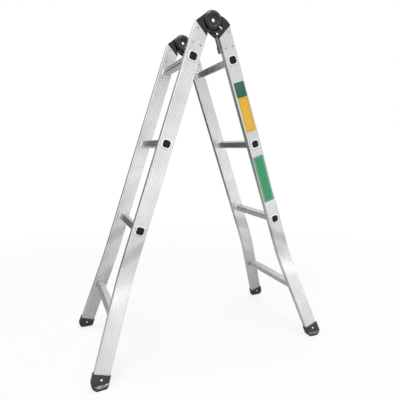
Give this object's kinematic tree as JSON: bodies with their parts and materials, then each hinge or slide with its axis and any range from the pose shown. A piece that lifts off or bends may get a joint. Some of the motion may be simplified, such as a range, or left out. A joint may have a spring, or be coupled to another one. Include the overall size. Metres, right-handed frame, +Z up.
{
  "type": "trestle ladder",
  "caption": "Folding aluminium trestle ladder: rung frames with flared legs and black boots, joined at the top by locking hinges; stands open to climb or to carry a plank.",
  "frame": {"origin": "on the floor, midway between the four feet", "axes": "+Z up, X along the rungs with the right-hand side at +X, front frame at -Y and rear frame at +Y"},
  "size_m": [0.4656, 0.899, 1.2044],
  "materials": {
    "stile_aluminium": "fluted mill extrusion",
    "rung_aluminium": "grooved mill tube",
    "brace_aluminium": "pressed mill channel",
    "plug_plastic": "moulded",
    "boot_rubber": "moulded, dusty",
    "hinge_plastic": "moulded, satin",
    "plate_steel": "zinc plated",
    "rivet_aluminium": "bright domed head",
    "pin_steel": "peened",
    "washer_plastic": "plain",
    "bolt_steel": "zinc plated",
    "lever_steel": "zinc plated",
    "spring_steel": "drawn wire"
  },
  "bodies": {
    "front_frame": {"front_right_stile": "stile_aluminium", "front_left_stile": "stile_aluminium", "front_upper_rung": "rung_aluminium", "front_middle_rung": "rung_aluminium", "front_lower_rung": "rung_aluminium", "front_rung_plugs": "plug_plastic", "front_brace": "brace_aluminium", "front_brace_rivets": "rivet_aluminium", "front_right_boot": "boot_rubber", "front_left_boot": "boot_rubber", "front_boot_rivets": "rivet_aluminium", "front_hinge_rivets": "rivet_aluminium", "right_front_outer_plate": "plate_steel", "left_front_outer_plate": "plate_steel", "right_front_inner_plate": "plate_steel", "left_front_inner_plate": "plate_steel", "right_front_block": "hinge_plastic", "left_front_block": "hinge_plastic"},
    "rear_frame": {"rear_right_stile": "stile_aluminium", "rear_left_stile": "stile_aluminium", "rear_upper_rung": "rung_aluminium", "rear_middle_rung": "rung_aluminium", "rear_lower_rung": "rung_aluminium", "rear_rung_plugs": "plug_plastic", "rear_brace": "brace_aluminium", "rear_brace_rivets": "rivet_aluminium", "rear_right_boot": "boot_rubber", "rear_left_boot": "boot_rubber", "rear_boot_rivets": "rivet_aluminium", "rear_hinge_rivets": "rivet_aluminium", "right_rear_outer_plate": "plate_steel", "left_rear_outer_plate": "plate_steel", "right_rear_inner_plate": "plate_steel", "left_rear_inner_plate": "plate_steel", "right_rear_core": "hinge_plastic", "left_rear_core": "hinge_plastic", "right_outer_cover": "hinge_plastic", "left_outer_cover": "hinge_plastic", "right_inner_cover": "hinge_plastic", "left_inner_cover": "hinge_plastic", "right_pivot_pin": "pin_steel", "left_pivot_pin": "pin_steel", "right_thrust_washers": "washer_plastic", "left_thrust_washers": "washer_plastic", "right_lever_pin": "pin_steel", "left_lever_pin": "pin_steel", "right_lock_spring": "spring_steel", "left_lock_spring": "spring_steel"},
    "right_lever": {"right_lock_lever": "lever_steel"},
    "left_lever": {"left_lock_lever": "lever_steel"},
    "right_bolt": {"right_lock_bolt": "bolt_steel"},
    "left_bolt": {"left_lock_bolt": "bolt_steel"}
  },
  "joints": [
    {"name": "fold", "type": "hinge", "parent": "front_frame", "child": "rear_frame", "pos_m": [0, 0, 1.17039], "axis": [1, 0, 0], "range_deg": [-37.2, 0]},
    {"name": "right_lever", "type": "hinge", "parent": "rear_frame", "child": "right_lever", "pos_m": [0.1465, 0.01378, 1.12945], "axis": [1, 0, 0], "range_deg": [0, 7], "stiffness_Nm_per_rad": 0.5, "springref_deg": 7},
    {"name": "right_bolt", "type": "slide", "parent": "rear_frame", "child": "right_bolt", "axis": [0, -0.7997, 0.6004], "range_m": [0, 0.0033]},
    {"name": "left_lever", "type": "hinge", "parent": "rear_frame", "child": "left_lever", "pos_m": [-0.1465, 0.01378, 1.12945], "axis": [1, 0, 0], "range_deg": [0, 7], "stiffness_Nm_per_rad": 0.5, "springref_deg": 7},
    {"name": "left_bolt", "type": "slide", "parent": "rear_frame", "child": "left_bolt", "axis": [0, -0.7997, 0.6004], "range_m": [0, 0.0033]}
  ],
  "couplings": [
    {"joint": "right_bolt", "follows": "right_lever", "m_per_rad": 0.02453},
    {"joint": "left_bolt", "follows": "left_lever", "m_per_rad": 0.02453}
  ]
}
